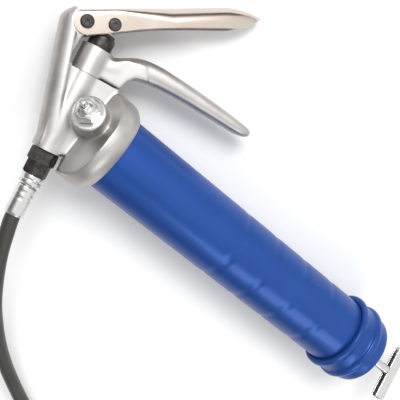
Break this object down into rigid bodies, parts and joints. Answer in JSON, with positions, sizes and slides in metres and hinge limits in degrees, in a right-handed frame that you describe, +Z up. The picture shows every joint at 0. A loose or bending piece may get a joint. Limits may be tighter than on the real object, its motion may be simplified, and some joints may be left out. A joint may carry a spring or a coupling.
{
  "type": "grease gun",
  "caption": "Lever grease gun with cast head and grip, blue barrel, follower rod with T handle, bleeder valve and a whip hose ending in a coupler.",
  "frame": {"origin": "Centre of the footprint of the gun without its free hose, on the table it lies on.", "axes": "+X along the barrel from the head towards the T handle (nose up by 0.55 degrees), +Y towards the fixed grip and lever, +Z up; the gun lies on its side, turned 12.1 degrees about the barrel so that the lever touches the table."},
  "size_m": [0.4003, 0.4897, 0.0739],
  "materials": {
    "cast_aluminium": "satin die cast",
    "blue_paint": "gloss blue paint",
    "nickel_plate": "bright nickel plate on pressed steel",
    "bright_steel": "machined steel",
    "spring_steel": "drawn wire",
    "zinc_plate": "bright zinc plate",
    "black_oxide": "black oxide on steel",
    "black_rubber": "matt black rubber",
    "brass_nut": "turned brass"
  },
  "bodies": {
    "gun": {"pump_head": "cast_aluminium", "handle_casting": "cast_aluminium", "gland_nut": "brass_nut", "packing_washer": "bright_steel", "plunger_packing": "black_rubber", "return_spring": "spring_steel", "outlet_adapter": "black_oxide", "check_spring": "spring_steel", "hose_nut": "zinc_plate", "hose_ferrule": "zinc_plate", "hose": "black_rubber", "far_ferrule": "zinc_plate", "hose_stem": "zinc_plate", "coupler_body": "bright_steel", "coupler_spring": "spring_steel", "coupler_seal": "black_rubber", "coupler_jaws": "bright_steel", "coupler_cap": "bright_steel", "barrel_gasket": "black_rubber", "barrel_tube": "blue_paint", "tail_cap": "blue_paint", "rod_bush": "bright_steel", "follower_spring": "spring_steel", "bleeder_body": "zinc_plate", "bleeder_spring": "spring_steel", "loader_fitting": "zinc_plate", "loader_spring": "spring_steel"},
    "lever": {"lever": "nickel_plate", "fulcrum_pin": "black_oxide", "fulcrum_clip": "bright_steel", "link_pin": "black_oxide", "link_clip": "bright_steel"},
    "link": {"lever_link": "bright_steel"},
    "plunger": {"plunger_cap": "black_oxide", "plunger_rod": "bright_steel"},
    "follower": {"follower_cup": "black_rubber", "follower_front_plate": "bright_steel", "follower_rear_plate": "bright_steel", "follower_sleeve": "bright_steel"},
    "rod": {"follower_rod": "zinc_plate", "t_handle": "zinc_plate"},
    "bleeder_button": {"bleeder_button": "bright_steel"},
    "outlet_ball": {"check_ball": "bright_steel"},
    "loader_ball": {"loader_ball": "bright_steel"}
  },
  "joints": [
    {"name": "lever_squeeze", "type": "hinge", "parent": "gun", "child": "lever", "pos_m": [-0.18361, 0.0244, 0.02455], "axis": [-0.0094, -0.2096, -0.9777], "range_deg": [0, 25]},
    {"name": "link_swing", "type": "hinge", "parent": "lever", "child": "link", "pos_m": [-0.16796, 0.03473, 0.02218], "axis": [-0.0094, -0.2096, -0.9777], "range_deg": [-18, 1]},
    {"name": "plunger_stroke", "type": "slide", "parent": "gun", "child": "plunger", "axis": [0.1979, -0.9588, 0.2037], "range_m": [0, 0.0081], "stiffness_N_per_m": 900, "springref_m": -0.008, "deforming": ["return_spring"]},
    {"name": "follower_travel", "type": "slide", "parent": "gun", "child": "follower", "axis": [1, 0, -0.0096], "range_m": [0, 0.204], "stiffness_N_per_m": 60, "springref_m": -0.25, "deforming": ["follower_spring"]},
    {"name": "rod_turn", "type": "hinge", "parent": "follower", "child": "rod", "pos_m": [-0.1115, -0.0327, 0.0361], "axis": [1, 0, -0.0096], "range_deg": [-90, 90]},
    {"name": "bleeder_press", "type": "slide", "parent": "gun", "child": "bleeder_button", "axis": [0.5065, -0.319, -0.801], "range_m": [0, 0.0022], "stiffness_N_per_m": 800, "springref_m": -0.001, "deforming": ["bleeder_spring"]},
    {"name": "outlet_check", "type": "slide", "parent": "gun", "child": "outlet_ball", "axis": [0.1979, -0.9588, 0.2037], "range_m": [0, 0.0015], "stiffness_N_per_m": 300, "springref_m": -0.002, "deforming": ["check_spring"]},
    {"name": "loader_check", "type": "slide", "parent": "gun", "child": "loader_ball", "axis": [0.4086, 0.1921, 0.8923], "range_m": [0, 0.0015], "stiffness_N_per_m": 300, "springref_m": -0.002, "deforming": ["loader_spring"]}
  ],
  "couplings": [
    {"joint": "link_swing", "follows": "lever_squeeze", "ratio": -0.704},
    {"joint": "plunger_stroke", "follows": "lever_squeeze", "m_per_rad": 0.01845}
  ]
}
